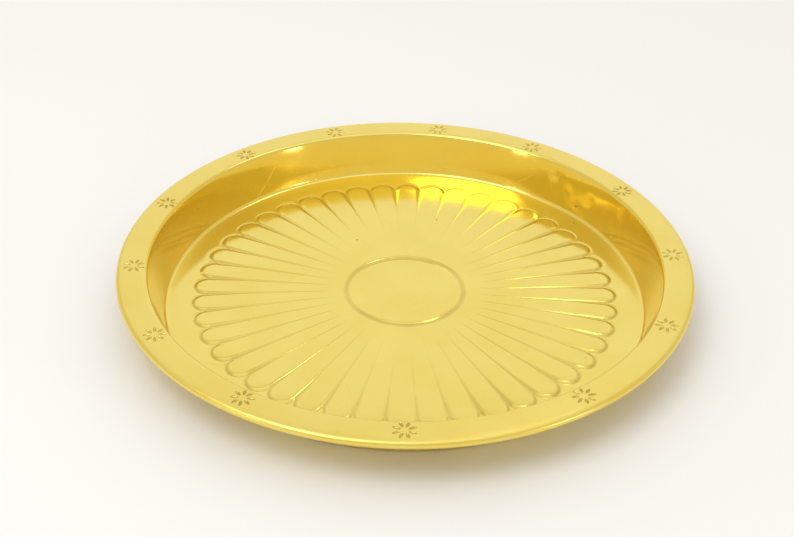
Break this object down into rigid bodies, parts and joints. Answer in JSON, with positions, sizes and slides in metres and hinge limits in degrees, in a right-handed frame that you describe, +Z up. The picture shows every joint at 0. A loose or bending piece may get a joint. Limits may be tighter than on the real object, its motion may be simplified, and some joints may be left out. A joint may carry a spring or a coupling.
{
  "type": "round serving tray",
  "caption": "Round pressed brass serving tray with a steep wall, a flat rim with a rolled wired edge, a petal sunburst on the floor and small punched flowers.",
  "frame": {"origin": "middle of the flat ring under the floor that the tray rests on", "axes": "+Z up along the tray's round axis; +X to the right and -Y towards the viewer of the picture"},
  "size_m": [0.2998, 0.2998, 0.025],
  "materials": {
    "brass_sheet": "polished",
    "edge_wire": "drawn"
  },
  "bodies": {
    "root": {"pressed_pan": "brass_sheet", "rim_wire": "edge_wire"}
  },
  "joints": []
}
